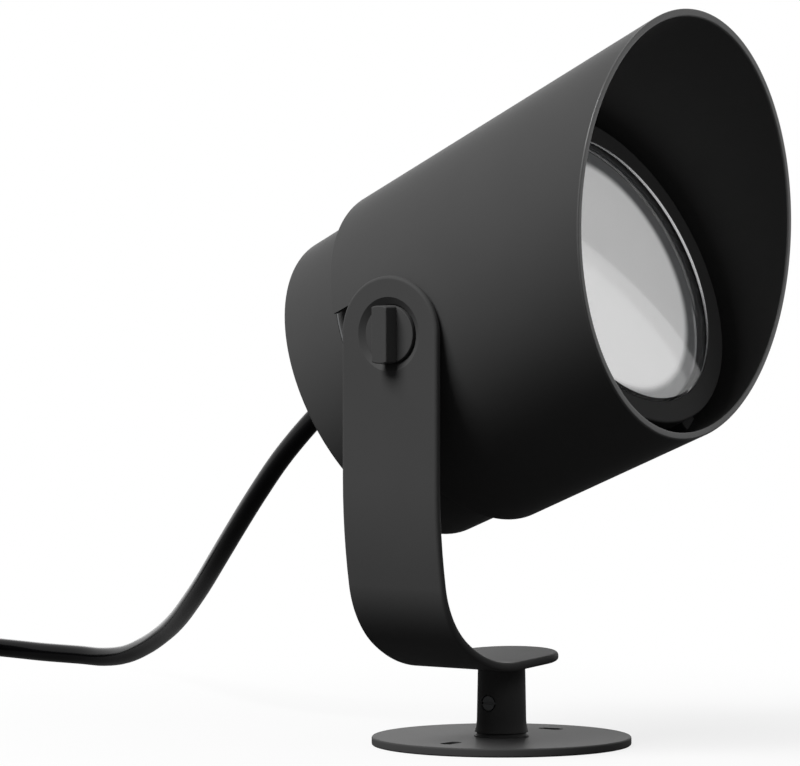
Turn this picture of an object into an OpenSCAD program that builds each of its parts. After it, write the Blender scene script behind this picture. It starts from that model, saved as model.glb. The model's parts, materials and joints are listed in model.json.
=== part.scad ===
// Outdoor spotlight on a swivelling J-shaped arm, with a long slant-cut shroud.
// Origin: centre of the base plate's underside. +Z is up, the beam leans up from +X,
// and the arm stands on the -Y side. Millimetres.

/* [Base and column] */
// Diameter of the base plate
base_d = 90; // [84:1:110]
// Thickness of the base plate
base_t = 3; // [2.8:0.1:5]
// Width of the two fixing slots
slot_w = 4.5; // [4:0.1:5.5]
// End to end length of the two fixing slots
slot_len = 9.5; // [8:0.5:12]
// Distance between the centres of the two fixing slots
slot_pitch = 61; // [52:1:66]
// Diameter of the column at its top
column_top_d = 16.4; // [15.6:0.1:20]
// Diameter of the column at its foot
column_foot_d = 17.1; // [16:0.1:22]
// Diameter of the flared collar that the column stands on
collar_d = 19; // [18.5:0.5:26]
// Height of the flared collar
collar_h = 1.4; // [1:0.1:3]
// Diameter of the post that the column turns on
post_d = 12; // [11:0.1:13]
// Height of the set screw above the floor
set_screw_z = 14.9; // [12:0.1:16]
// Diameter of the set screw
set_screw_d = 5; // [4:0.5:6]

/* [Arm] */
// Width of the flat arm, also the diameter of its round ends
arm_w = 39.4; // [36:0.5:44]
// Thickness of the arm
arm_t = 3; // [2.5:0.1:4]
// Gap between the shroud and the arm's inner face
arm_gap = 0.36; // [0.3:0.02:4]
// Height of the foot's underside on the column's axis
foot_z = 28.8; // [26:0.2:36]
// Slope of the foot, which rises away from the upright
foot_slope = 3; // [0:0.5:5]
// Radius of the gentle bend at the foot of the upright
bend_top_r = 190; // [120:5:240]
// Angle of that gentle bend
bend_top_deg = 11; // [6:0.5:14]
// Radius of the main bend
bend_mid_r = 32; // [26:1:36]
// Radius of the last bend, into the foot
bend_foot_r = 53; // [40:1:60]
// Angle before level at which the last bend takes over from the main one
bend_foot_deg = 34; // [26:1:38]
// Height of the tilt axis above the floor
pivot_z = 144.4; // [140:0.2:170]
// Diameter of the dish round the knob, at the arm's face
dish_d = 25.2; // [24.4:0.2:30]
// Depth of the dish
dish_depth = 1.2; // [0.8:0.1:1.6]
// Depth of the round pocket that holds the knob
pocket_depth = 3; // [2.8:0.1:3.6]
// Thickness of the pocket's floor
pocket_floor = 2; // [1.5:0.1:2.4]

/* [Tilt knob] */
// Diameter of the knob's disc
knob_d = 19.6; // [17:0.2:20]
// Width of the raised grip bar
grip_w = 6.2; // [5:0.2:8]
// How far the grip bar stands out from the disc
grip_h = 6; // [4:0.2:10]
// Diameter of the clamping stud
stud_d = 6; // [5:0.5:7]

/* [Housing] */
// Tilt of the beam above level, as the lamp stands here
tilt_rest = 25; // [0:0.5:40]
// Gap between the housing and the shroud at the shroud's back edge
housing_gap = 2.3; // [2:0.1:3.4]
// Thickness of the housing's wall
housing_wall = 3; // [2.6:0.1:3.4]
// How far the housing's seam lies behind the tilt axis
seam_back = 25.4; // [24:0.2:28]
// How far the rear cover's back lies behind the tilt axis
cover_back = 50.4; // [48:0.2:60]
// How much narrower the rear cover is at its back than at the seam
cover_taper = 2; // [0.4:0.2:6]
// Thickness of the rear cover's back wall
cover_wall = 2.8; // [2.4:0.1:4]
// Thickness of the seal in the seam
seam_seal_t = 0.8; // [0.6:0.1:1.2]
// How far the bezel's front face lies ahead of the tilt axis
bezel_front = 51.3; // [50.5:0.1:56]

/* [Shroud] */
// Outside diameter of the shroud at its back edge
shroud_back_d = 124.4; // [114:0.2:136]
// Outside diameter of the shroud where its slanted rim crosses the beam's axis
shroud_rim_d = 132.6; // [126:0.2:140]
// How far the shroud's back edge lies behind the tilt axis
shroud_back = 23.3; // [20:0.1:24]
// How far ahead of the tilt axis the slanted rim crosses the beam's axis
rim_ahead = 84.2; // [76:0.2:110]
// Slant of the rim from square
rim_slant = 24.8; // [0:0.2:30]
// Thickness of the shroud's wall
shroud_wall = 2.4; // [1.8:0.1:2.6]
// Width of the slot that clears the boss, open at the shroud's back edge
notch_w = 35; // [33:0.5:38]

/* [Lens and light] */
// Width of the bezel's face, between the lens and the housing's edge
bezel_w = 7.9; // [7:0.1:10]
// How far the lens flange reaches under the bezel, all round
lens_flange_w = 2.8; // [2:0.1:3.2]
// How far the lens stands proud of the bezel
lens_proud = 0.7; // [0.3:0.1:2]
// Thickness of the lens flange
lens_flange_t = 3.9; // [3:0.1:4.2]
// Thickness of the bezel's lip over the lens
bezel_lip = 2.8; // [2.4:0.1:3.2]
// Thickness of the lens seal
lens_seal_t = 2.2; // [1.6:0.1:2.6]
// Thickness of the diffuser
diffuser_t = 1.5; // [1:0.1:2]
// How far the reflector's mouth lies inside the lens, all round
reflector_inset = 4.1; // [3:0.1:7]
// Wall thickness of the reflector
reflector_wall = 1.5; // [1.2:0.1:2]
// Diameter of the light board
board_d = 68; // [60:1:76]
// Width of the light board's rim outside the reflector, which takes its screws
board_rim = 10; // [9:0.5:12]
// Number of light chips in the ring
chip_count = 8; // [5:1:10]

/* [Cable] */
// Diameter of the cord
cord_d = 7.2; // [6.4:0.1:7.4]
// How far the gland sits above the beam's axis
gland_up = 5; // [0:0.5:8]
// Length of the strain relief behind the rear cover
relief_len = 23.6; // [22:0.2:30]
// Distance between neighbouring turns of the coil
coil_pitch = 7.8; // [7.8:0.1:8.6]
// Diameter of the coil at the middle of its turns
coil_mean_d = 79.2; // [72:0.2:90]
// Thickness of the ties round the coil
tie_t = 0.8; // [0.6:0.1:1.2]
// Width of the ties round the coil
tie_w = 9; // [6:0.5:12]
// Diameter of the connector's body
connector_d = 16; // [15:0.5:20]

/* [Hidden] */

// Finishes
coat = "#3a3b3c";
steel = "#a9acb0";
zinc = "#8d9196";
rubber = "#1c1c1d";
brass = "#b9974e";
board_green = "#1f5a3c";

// Fine and coarse circles
fine = 128;
round = 48;
// Gap between pieces that are fitted together
fit = 0.05;
// How far one shape is sunk into another when they form one piece
sink = 0.5;

// Derived: base and column
slot_r = slot_w / 2;
collar_top = base_t + collar_h;
washer_t = 0.6;
column_z = collar_top + washer_t + fit;
post_top = foot_z - 3;
groove_d = post_d - 1.6;
groove_w = set_screw_d - 1.6;
post_screw_d = 5;
post_screw_head = 10;
post_screw_sunk = 0.2;
post_screw_top = set_screw_z - groove_w / 2 - 1;
fillet_r = 2;

// Derived: shroud, whose radius t along the beam from the tilt axis is shroud_r(t)
shroud_slope = (shroud_rim_d - shroud_back_d) / 2 / (rim_ahead + shroud_back);
function shroud_r(t) = shroud_back_d / 2 + (t + shroud_back) * shroud_slope;

// Derived: arm, whose outer face lies arm_face_y from the middle of the lamp
arm_face_y = shroud_r(arm_w / 2) + arm_gap + arm_t;
arm_mid_y = arm_face_y - arm_t / 2;
arm_in_y = arm_face_y - arm_t;
// Where each bend of the arm's middle line starts, from the upright down to the foot
bend_y1 = -arm_mid_y + bend_top_r * (1 - cos(bend_top_deg));
bend_y2 = bend_y1 + bend_mid_r * (cos(bend_top_deg) - sin(bend_foot_deg));
bend_y3 = bend_y2 + bend_foot_r * (sin(bend_foot_deg) + sin(foot_slope));
bend_z3 = foot_z + arm_t / 2 / cos(foot_slope) + bend_y3 * tan(foot_slope);
bend_z2 = bend_z3 + bend_foot_r * (cos(foot_slope) - cos(bend_foot_deg));
bend_z1 = bend_z2 + bend_mid_r * (cos(bend_foot_deg) - sin(bend_top_deg));
upright_z = bend_z1 + bend_top_r * sin(bend_top_deg);
// The foot runs on past its round end before it is trimmed
foot_past = arm_w / 2 + 2;
bend_steps = 12;

// Derived: pivot, on the -Y side
pocket_d = knob_d + 0.6;
pocket_in_y = arm_face_y - pocket_depth;
cup_in_y = pocket_in_y - pocket_floor;
cup_d = pocket_d + 5.8;
stud_hole_d = stud_d + 0.4;
knob_washer_t = 0.8;
knob_back_y = pocket_in_y + knob_washer_t + fit;
knob_face_y = arm_face_y - 0.2;
friction_t = 0.6;
boss_face_y = cup_in_y - friction_t - 2 * fit;
insert_d = 11;
insert_len = 12;
insert_end_y = boss_face_y - insert_len;
boss_end_y = insert_end_y - 2;
boss_inner_d = insert_d + 5;

// Derived: housing, along the beam from the tilt axis
housing_r = shroud_back_d / 2 - shroud_wall - housing_gap;
boss_r = notch_w / 2 - 0.2;
bore_r = housing_r - housing_wall;
seal_back = -(seam_back + seam_seal_t / 2);
seal_front = -(seam_back - seam_seal_t / 2);
cover_in = -(cover_back - cover_wall);
cover_back_r = housing_r - cover_taper / 2;
cover_bore_r = cover_back_r - cover_wall;
cover_edge_r = 1;
lip_back = bezel_front - bezel_lip;
glass_front = bezel_front + lens_proud;
flange_front = lip_back - fit;
flange_back = flange_front - lens_flange_t;
lens_r = housing_r - bezel_w;
flange_r = lens_r + lens_flange_w;
seal_w = 3.4;
lens_seal_back = flange_back - lens_seal_t;
diffuser_back = lens_seal_back - diffuser_t;
reflector_flange_t = 2;
reflector_back = diffuser_back - reflector_flange_t - fit;
housing_front = bezel_front - 6;
partition_front = 15;
partition_t = 5;
board_t = 1.6;
board_front = partition_front + board_t;
rib_h = 2.5;
rib_t = 3;
rib_count = 6;
fin_t = 2;
fin_gap = 10;
fin_back = -4;
fin_r = boss_end_y - 3.5;
post_r = 5;
post_ring = cover_bore_r - post_r + 1.9;
lug_front = -12;
m3_r = 1.5;
m3_head_r = 2.75;
m3_head_h = 2.4;

// Derived: shroud ribs and screws
rib_w = 8;
rib_len = 6;
rib_ahead = housing_front - 9.3;
// The ribs bear on the housing at these angles from the top, and the first two are screwed
rib_angles = [29, 151, 270];
m25_r = 1.25;
m25_head_r = 1.9;
m25_head_h = 1.7;
shroud_screw_sunk = 0.2;
shroud_screw_head = 1.3;

// Derived: light board
chip_w = 3.5;
chip_h = 0.8;
chip_ring_r = 14;
reflector_small_r = board_d / 2 - board_rim;
reflector_large_r = lens_r - reflector_inset;
board_screw_r = board_d / 2 - 3;
// The two leads pass the board at these y and z
lead_at = [[13.5, board_d / 2 - board_rim], [16.5, board_d / 2 - board_rim]];
lead_r = 0.9;

// Derived: driver
driver_w = 48;
driver_z0 = 12;
driver_h = 26;
driver_back = cover_in + 11.6;
driver_front = driver_back + board_t;
standoff_r = 2.5;
hole_in = 4;
driver_holes = [for (y = [-1, 1]) for (z = [hole_in - 1, driver_h - hole_in + 1])
    [y * (driver_w / 2 - hole_in), driver_z0 + z]];
// Parts on the board: y and z of a corner, then depth, width and height
driver_blocks = [[-16.5, 25, 13, 15, 12], [8, 13.5, 5, 9, 5], [-17, 14, 6, 8, 4.5]];
// Round parts on the board: y and z of the middle, then radius and depth
driver_rounds = [[5, 31.5, 5, 14], [14.5, 33.5, 2.6, 9]];
terminal_w = 12;
terminal_h = 10;
terminal_d = 10;
terminal_z0 = 14;

// Derived: cable entry
cord_r = cord_d / 2;
thread_r = 8;
gland_flange_t = 3;
gland_flange_r = 11;
gland_tube_r = 7;
gland_tube_len = 9;
seal_hole_r = 5.6;
seal_len = 8;
locknut_t = 4;
gland_in = -(cover_back - cover_wall - locknut_t - 2);
exit_back = cover_back + relief_len;
jacket_in = gland_in + 2;
wire_r = 0.9;
wire_bend_r = terminal_z0 - gland_up;
wire_y = 1.8;

// The cord's way from the strain relief to the coil: points after the first lie where they
// were set down by hand on the floor and in the air behind the lamp
exit_dir = [-cos(tilt_rest), 0, -sin(tilt_rest)];
cord_exit = [-exit_back * cos(tilt_rest) - gland_up * sin(tilt_rest), 0,
    pivot_z - exit_back * sin(tilt_rest) + gland_up * cos(tilt_rest)];
route_free = [
    [-84, 0.5, 107.4], [-98, 4, 95.5], [-114, 11, 81.7], [-132, 22, 67.7], [-151, 36.5, 55.2],
    [-171, 54.5, 44.7], [-192, 74.5, 35.5], [-214, 96, 27], [-237, 117.5, 19.2],
    [-260, 136, 11.8], [-280, 148.5, 6.2], [-297, 156, 3.8], [-312, 159.4, 3.6],
    [-330, 160, 3.7], [-346, 160, 4.2], [-362, 160, 4.6]];
route_end = [-378, 160, 4.6];
route_end_dir = [-1, 0, 0];
cord_sides = 8;
steps_per_span = 2;

// Coil: in at floor level, out again on the layer above
coil_turns = 4.25;
coil_sides = 6;
rings_per_turn = 24;
coil_lead = cord_d;
half_turns = coil_turns / 2;
coil_in_r = coil_mean_d / 2 - coil_pitch * half_turns / 2;
coil_z = cord_r + tie_t + 0.2;
// Width of the rounding where the spiral turns from inward to outward, in turns
turn_round = 0.1;
climb_turns = 0.5;
// The ties sit at these angles along the coil
tie_angles = [180, 315];
tie_gap = 0.3;

// Derived: connector at the cord's end
nut_r = connector_d / 2 + 1.2;
boot_len = 20;
connector_len = 26;
contact_r = 1.2;
contact_len = 9;
contact_pitch = 6;
nut_len = 14;
tail_len = 42;

function unit(v) = v / norm(v);
function mix(a, b, k) = a + (b - a) * k;
function ramp(x) = let(k = min(1, max(0, x))) k * k * (3 - 2 * k);

// One point of a smooth curve through b and c, with a and d before and after them
function curve_point(a, b, c, d, k) =
    0.5 * (2 * b + (c - a) * k + (2 * a - 5 * b + 4 * c - d) * k * k
        + (3 * b - a - 3 * c + d) * k * k * k);

// A smooth curve through all the points, with straight ends
function smooth_route(p, steps) = let(n = len(p))
    concat([for (i = [1 : n - 3]) for (s = [0 : steps - 1])
        curve_point(p[i - 1], p[i], p[i + 1], p[i + 2], s / steps)], [p[n - 2]]);

function tangents(p) = let(n = len(p))
    [for (i = [0 : n - 1]) unit(p[min(i + 1, n - 1)] - p[max(i - 1, 0)])];

// Closed tube along the points; r gives its radius at each point
module tube(p, dirs, r, sides) {
    n = len(p);
    rings = [for (i = [0 : n - 1])
        let(side = unit(cross([0, 0, 1], dirs[i])), up = cross(dirs[i], side))
        for (k = [0 : sides - 1])
            let(a = 360 * (k + 0.5) / sides)
            p[i] + r[i] * (cos(a) * side + sin(a) * up)];
    walls = [for (i = [0 : n - 2]) for (k = [0 : sides - 1])
        let(a = i * sides + k, b = i * sides + (k + 1) % sides)
        each [[a, a + sides, b], [b, a + sides, b + sides]]];
    near = [for (k = [1 : sides - 2]) [0, k, k + 1]];
    far = [for (k = [1 : sides - 2])
        [(n - 1) * sides, (n - 1) * sides + k + 1, (n - 1) * sides + k]];
    polyhedron(points = rings, faces = concat(walls, near, far));
}

// Head pieces are drawn with the beam along +X from the tilt axis, then tilted into place
module at_head() translate([0, 0, pivot_z]) rotate([0, -tilt_rest, 0]) children();

// Turned about the beam's axis from points of radius and distance
module turned(outline, sides = fine)
    rotate([0, 90, 0]) rotate_extrude(angle = 360, $fn = sides) polygon(outline);

module ring_x(t0, t1, r_out, r_in, sides = fine)
    turned([[r_in, t0], [r_out, t0], [r_out, t1], [r_in, t1]], sides);

module rod_x(t0, t1, r, sides = round)
    translate([t0, 0, 0]) rotate([0, 90, 0]) cylinder(h = t1 - t0, r = r, $fn = sides);

// Along +Y from y0 to y1
module rod_y(y0, y1, r, sides = round)
    translate([0, y0, 0]) rotate([-90, 0, 0]) cylinder(h = y1 - y0, r = r, $fn = sides);

// Turns a piece drawn above the beam's axis to an angle round it
module at_angle(a) rotate([-a, 0, 0]) children();

// Screw along the beam, its head at t0 and its point at t1
module screw_x(t0, t1, r, head_r, head_h) {
    way = sign(t1 - t0);
    difference() {
        union() {
            rod_x(min(t0, t1), max(t0, t1), r, 24);
            rod_x(min(t0, t0 - way * head_h), max(t0, t0 - way * head_h), head_r, 32);
        }
        rod_x(min(t0 - way * head_h * 1.1, t0 - way * head_h * 0.45),
            max(t0 - way * head_h * 1.1, t0 - way * head_h * 0.45), head_r * 0.52, 6);
    }
}

// Base and column

module slot(r, len) {
    cube([len - 2 * r, 2 * r, 4 * base_t], center = true);
    for (s = [-1, 1]) translate([s * (len / 2 - r), 0, 0])
        cylinder(h = 4 * base_t, r = r, center = true, $fn = 32);
}

module base_plate() color(coat) difference() {
    cylinder(h = base_t, d = base_d, $fn = fine);
    translate([0, -slot_pitch / 2, 0]) rotate([0, 0, 90]) slot(slot_r, slot_len);
    translate([0, slot_pitch / 2, 0]) slot(slot_r, slot_len);
    translate([0, 0, -1]) cylinder(h = base_t + 2, d = post_screw_d + 0.2, $fn = round);
    translate([0, 0, post_screw_sunk - fit])
        cylinder(h = 2.5, d1 = post_screw_head + 2 * fit, d2 = post_screw_d + 2 * fit, $fn = round);
    translate([0, 0, -1])
        cylinder(h = 1 + post_screw_sunk, d = post_screw_head + 2 * fit, $fn = round);
}

module swivel_post() color(coat) difference() {
    rotate_extrude($fn = fine) polygon([
        [0, base_t], [collar_d / 2, base_t],
        for (a = [0 : 15 : 90])
            [collar_d / 2 - (collar_d - column_foot_d) / 2 * sin(a),
                base_t + 0.3 + (collar_h - 0.3) * (1 - cos(a))],
        [post_d / 2, collar_top],
        [post_d / 2, set_screw_z - groove_w / 2], [groove_d / 2, set_screw_z - groove_w / 2],
        [groove_d / 2, set_screw_z + groove_w / 2], [post_d / 2, set_screw_z + groove_w / 2],
        [post_d / 2, post_top], [0, post_top]]);
    translate([0, 0, base_t - 1])
        cylinder(h = post_screw_top + 2 * fit - base_t + 1, d = post_screw_d + 2 * fit, $fn = round);
}

module post_screw() color(steel) difference() {
    union() {
        translate([0, 0, post_screw_sunk])
            cylinder(h = 2.5, d1 = post_screw_head, d2 = post_screw_d, $fn = round);
        translate([0, 0, post_screw_sunk])
            cylinder(h = post_screw_top - post_screw_sunk, d = post_screw_d, $fn = round);
    }
    translate([0, 0, -1]) cylinder(h = 1 + post_screw_sunk + 1.6, d = 3.4, $fn = 6);
}

module thrust_washer() color("#d8d4c8") difference() {
    translate([0, 0, collar_top]) cylinder(h = washer_t, d = column_foot_d - 0.6, $fn = fine);
    translate([0, 0, collar_top - 1]) cylinder(h = washer_t + 2, d = post_d + 2 * fit, $fn = fine);
}

module set_screw() color(zinc) translate([0, 0, set_screw_z]) difference() {
    union() {
        rod_y(-column_top_d / 2 + 0.1, -post_d / 2 - 0.3, set_screw_d / 2);
        rod_y(-post_d / 2 - 0.4, -groove_d / 2 - fit, groove_w / 2 - 0.2);
    }
    translate([-set_screw_d, -column_top_d / 2 - 1, -0.35])
        cube([2 * set_screw_d, 1.9, 0.7]);
}

// Arm

// One bend of the arm's middle line, from y and z at angle a0: y, z, angle
function bend(y, z, r, a0, a1, first) = [for (i = [first : bend_steps])
    let(a = mix(a0, a1, i / bend_steps))
    [y + r * (cos(a0) - cos(a)), z - r * (sin(a) - sin(a0)), a]];

// Middle of the arm's thickness, from the upright down and along the foot
function arm_line() = concat(
    bend(-arm_mid_y, upright_z, bend_top_r, 0, bend_top_deg, 0),
    bend(bend_y1, bend_z1, bend_mid_r, bend_top_deg, 90 - bend_foot_deg, 1),
    bend(bend_y2, bend_z2, bend_foot_r, 90 - bend_foot_deg, 90 + foot_slope, 1),
    [[foot_past, bend_z3 + (foot_past - bend_y3) * tan(foot_slope), 90 + foot_slope]]);

module arm_strap() {
    line = arm_line();
    n = len(line);
    h = arm_t / 2;
    intersection() {
        rotate([90, 0, 90]) linear_extrude(height = arm_w, center = true) polygon(concat(
            [[-arm_face_y, pivot_z]],
            [for (p = line) [p[0] - h * cos(p[2]), p[1] - h * sin(p[2])]],
            [for (i = [n - 1 : -1 : 0]) let(p = line[i]) [p[0] + h * cos(p[2]), p[1] + h * sin(p[2])]],
            [[-arm_in_y, pivot_z]]));
        union() {
            translate([-arm_w, -2 * arm_face_y, 0]) cube([2 * arm_w, 2 * arm_face_y, 2 * pivot_z]);
            cylinder(h = pivot_z, d = arm_w, $fn = fine);
        }
    }
    translate([0, 0, pivot_z]) rod_y(-arm_face_y, -arm_in_y, arm_w / 2, fine);
}

module column() rotate_extrude($fn = fine) polygon([
    [0, column_z], [column_foot_d / 2, column_z],
    for (a = [0 : 15 : 90])
        [column_top_d / 2 + fillet_r * (1 - cos(a)), foot_z - fillet_r + fillet_r * sin(a)],
    [column_top_d / 2 + fillet_r, foot_z + arm_t / 2], [0, foot_z + arm_t / 2]]);

module arm() color(coat) difference() {
    union() {
        arm_strap();
        column();
        translate([0, 0, pivot_z]) rod_y(-arm_in_y - sink, -cup_in_y, cup_d / 2, fine);
    }
    translate([0, 0, pivot_z]) {
        rod_y(-arm_face_y - 1, -pocket_in_y, pocket_d / 2, fine);
        translate([0, -arm_face_y, 0]) rotate([-90, 0, 0])
            cylinder(h = dish_depth, d1 = dish_d, d2 = pocket_d, $fn = fine);
        rod_y(-arm_face_y, 0, stud_hole_d / 2);
    }
    translate([0, 0, column_z - 1])
        cylinder(h = post_top + 0.3 - column_z + 1, d = post_d + 2 * fit, $fn = fine);
    translate([0, 0, set_screw_z]) rod_y(-column_foot_d, 0, set_screw_d / 2 + fit);
}

// Tilt knob and pivot

module tilt_knob() color(coat) translate([0, 0, pivot_z]) difference() {
    union() {
        rod_y(-knob_face_y, -knob_back_y, knob_d / 2, fine);
        intersection() {
            rod_y(-knob_face_y - grip_h, -knob_face_y + sink, knob_d / 2, fine);
            translate([-grip_w / 2, -knob_face_y - 2 * grip_h, -knob_d])
                cube([grip_w, 3 * grip_h, 2 * knob_d]);
        }
    }
    rod_y(-knob_face_y - 2, 0, stud_d / 2 + fit);
}

module knob_stud() color(steel) translate([0, 0, pivot_z])
    rod_y(-knob_face_y - 2 + fit, -insert_end_y - 0.5, stud_d / 2);

module knob_washer() color(steel) translate([0, 0, pivot_z]) difference() {
    rod_y(-pocket_in_y - knob_washer_t, -pocket_in_y, knob_d / 2 - 1.5, fine);
    rod_y(-arm_face_y, 0, stud_hole_d / 2);
}

module friction_washer() color("#57534c") at_head() difference() {
    rod_y(-boss_face_y - friction_t - fit, -boss_face_y - fit, cup_d / 2 - 0.5, fine);
    rod_y(-arm_face_y, 0, stud_hole_d / 2);
}

module pivot_insert() color(brass) at_head() difference() {
    union() {
        rod_y(-boss_face_y + 0.2, -insert_end_y, insert_d / 2 - 0.4, fine);
        for (y = [1.5, 7]) rod_y(-boss_face_y + y, -boss_face_y + y + 3.5, insert_d / 2, fine);
    }
    rod_y(-arm_face_y, 0, stud_d / 2 + fit);
}

// Housing

// The wall and the posts start behind the seam, and one cut makes their common rear face
module main_housing() color(coat) at_head() difference() {
    union() {
        ring_x(seal_front - 1, housing_front, housing_r, bore_r);
        rod_x(partition_front - partition_t, partition_front, bore_r + sink, fine);
        difference() {
            rod_y(-boss_face_y, 0, boss_r, fine);
            rod_x(-2 * boss_r, 2 * boss_r, bore_r + 1, fine);
        }
        rod_y(-housing_r + 1, -boss_end_y, boss_inner_d / 2);
        for (i = [0 : rib_count - 1]) at_angle(30 + i * 360 / rib_count)
            translate([partition_front - 1, -rib_t / 2, bore_r - rib_h])
                cube([reflector_back - fit - partition_front + 1, rib_t, rib_h + 1]);
        intersection() {
            rod_x(fin_back, partition_front - 1, fin_r);
            for (i = [-4 : 4]) translate([fin_back - 1, i * fin_gap - fin_t / 2, -fin_r])
                cube([partition_front - fin_back, fin_t, 2 * fin_r]);
        }
        for (a = [45 : 90 : 315]) at_angle(a) translate([0, 0, post_ring])
            rod_x(seal_front - 0.5, lug_front, post_r);
    }
    rod_x(seal_front - 2, seal_front, housing_r + 1, fine);
    rod_y(-boss_face_y - 1, -insert_end_y + 0.1, insert_d / 2 + fit, fine);
    for (a = [45 : 90 : 315]) at_angle(a) translate([0, 0, post_ring])
        rod_x(seal_front - 1, lug_front - 1.5, m3_r + fit);
    for (a = rib_angles) if (a < 180) at_angle(a) translate([rib_ahead, 0, 0])
        cylinder(h = housing_r + 1, r = m3_r + fit, $fn = round);
    for (a = [0 : 120 : 240]) at_angle(a) translate([0, 0, board_screw_r])
        rod_x(partition_front - partition_t + 1, partition_front + 1, m3_r + fit);
    for (p = lead_at) translate([0, p[0], p[1]]) rod_x(-50, 50, lead_r + 0.4);
}

module rear_cover() color(coat) at_head() difference() {
    union() {
        turned([
            [0, -cover_back], [cover_back_r - cover_edge_r, -cover_back],
            for (a = [0 : 15 : 90])
                [cover_back_r - cover_edge_r + cover_edge_r * sin(a),
                    -cover_back + cover_edge_r * (1 - cos(a))],
            [housing_r, seal_back], [housing_r - cover_wall, seal_back],
            [cover_bore_r, cover_in], [0, cover_in]]);
        for (a = [45 : 90 : 315]) at_angle(a) translate([0, 0, post_ring])
            rod_x(cover_in - 1, seal_back, post_r);
        for (p = driver_holes) translate([0, p[0], p[1]])
            rod_x(cover_in - 1, driver_back, standoff_r, 32);
    }
    for (a = [45 : 90 : 315]) at_angle(a) translate([0, 0, post_ring]) {
        rod_x(-cover_back - 1, seal_back + 1, m3_r + 0.2);
        rod_x(-cover_back - 1, -cover_back + m3_head_h + 0.4, m3_head_r + 0.3);
    }
    for (p = driver_holes) translate([0, p[0], p[1]])
        rod_x(cover_in + 4, driver_back + 1, m25_r - 0.25 + fit, 24);
    translate([0, 0, gland_up]) rod_x(-cover_back - 1, cover_in + 1, thread_r + fit, fine);
}

module cover_seal() color(rubber) at_head() difference() {
    union() {
        ring_x(seal_back, seal_front, housing_r - 0.3, housing_r - cover_wall + 0.1);
        for (a = [45 : 90 : 315]) at_angle(a) translate([0, 0, post_ring])
            rod_x(seal_back, seal_front, post_r - 0.2);
    }
    for (a = [45 : 90 : 315]) at_angle(a) translate([0, 0, post_ring])
        rod_x(seal_back - 1, seal_front + 1, m3_r + 0.2);
}

module cover_screws() color(steel) at_head()
    for (a = [45 : 90 : 315]) at_angle(a) translate([0, 0, post_ring])
        screw_x(-cover_back + m3_head_h + 0.4, lug_front - 2, m3_r, m3_head_r, m3_head_h);

// Shroud

module shroud() color(coat) at_head() {
    far = rim_ahead + shroud_rim_d * tan(rim_slant);
    difference() {
        union() {
            turned([
                [shroud_r(-shroud_back) - shroud_wall, -shroud_back],
                [shroud_r(-shroud_back), -shroud_back],
                [shroud_r(far), far], [shroud_r(far) - shroud_wall, far]]);
            for (a = rib_angles) at_angle(a)
                translate([rib_ahead - rib_len / 2, -rib_w / 2, housing_r + 0.1])
                    cube([rib_len, rib_w, shroud_r(rib_ahead) - shroud_wall / 2 - housing_r - 0.1]);
        }
        translate([rim_ahead, 0, 0]) rotate([0, rim_slant, 0])
            translate([0, -far, -far]) cube([2 * far, 2 * far, 2 * far]);
        rod_y(-shroud_rim_d, -housing_r / 2, notch_w / 2, fine);
        translate([-shroud_back - 1, -shroud_rim_d, -notch_w / 2])
            cube([shroud_back + 1, shroud_rim_d - housing_r / 2, notch_w]);
        for (a = rib_angles) if (a < 180) at_angle(a) translate([rib_ahead, 0, 0]) {
            cylinder(h = shroud_rim_d, r = m3_r + 0.1, $fn = round);
            translate([0, 0, shroud_r(rib_ahead) - shroud_screw_sunk - shroud_screw_head])
                cylinder(h = shroud_screw_head, r1 = m3_r + 0.1, r2 = m3_head_r + 0.1, $fn = round);
            translate([0, 0, shroud_r(rib_ahead) - shroud_screw_sunk])
                cylinder(h = 2, r = m3_head_r + 0.1, $fn = round);
        }
    }
}

module shroud_screws() color(steel) at_head()
    for (a = rib_angles) if (a < 180) at_angle(a)
        translate([rib_ahead, 0, shroud_r(rib_ahead) - shroud_screw_sunk]) difference() {
            union() {
                translate([0, 0, -shroud_screw_head])
                    cylinder(h = shroud_screw_head, r1 = m3_r, r2 = m3_head_r, $fn = round);
                translate([0, 0, bore_r + 0.3 - shroud_r(rib_ahead) + shroud_screw_sunk])
                    cylinder(h = shroud_r(rib_ahead) - shroud_screw_sunk - bore_r - 0.3,
                        r = m3_r, $fn = round);
            }
            translate([0, 0, -1]) cylinder(h = 2, r = 1.1, $fn = 6);
        }

// Lens and light

module bezel_ring() color(coat) at_head() {
    edge = 0.8;
    skirt_back = flange_back - 1.3;
    turned([
        [lens_r + 0.3, lip_back], [lens_r + 0.3, bezel_front - 0.3],
        [lens_r + 0.6, bezel_front], [housing_r - edge, bezel_front],
        for (a = [0 : 15 : 90])
            [housing_r - edge + edge * sin(a), bezel_front - edge * (1 - cos(a))],
        [housing_r, housing_front + fit], [bore_r - fit, housing_front + fit],
        [bore_r - fit, skirt_back], [flange_r + 0.2, skirt_back],
        [flange_r + 0.2, lip_back]]);
}

module lens_glass() color("#dfe6e8", 0.4) at_head() {
    edge = 0.8;
    turned([
        [0, flange_back], [flange_r, flange_back], [flange_r, flange_front],
        [lens_r, flange_front], [lens_r, glass_front - edge],
        [lens_r - edge, glass_front], [0, glass_front]]);
}

module lens_seal() color(rubber) at_head()
    ring_x(lens_seal_back, flange_back, flange_r, flange_r - seal_w);

module diffuser() color("#f2f1ec") at_head()
    rod_x(diffuser_back, lens_seal_back, bore_r - 0.3, fine);

module reflector() color("#e9e8e3") at_head() turned([
    [reflector_small_r, board_front], [reflector_small_r + reflector_wall, board_front],
    [reflector_large_r + reflector_wall, reflector_back], [bore_r - 0.2, reflector_back],
    [bore_r - 0.2, reflector_back + reflector_flange_t],
    [reflector_large_r, reflector_back + reflector_flange_t]]);

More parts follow.
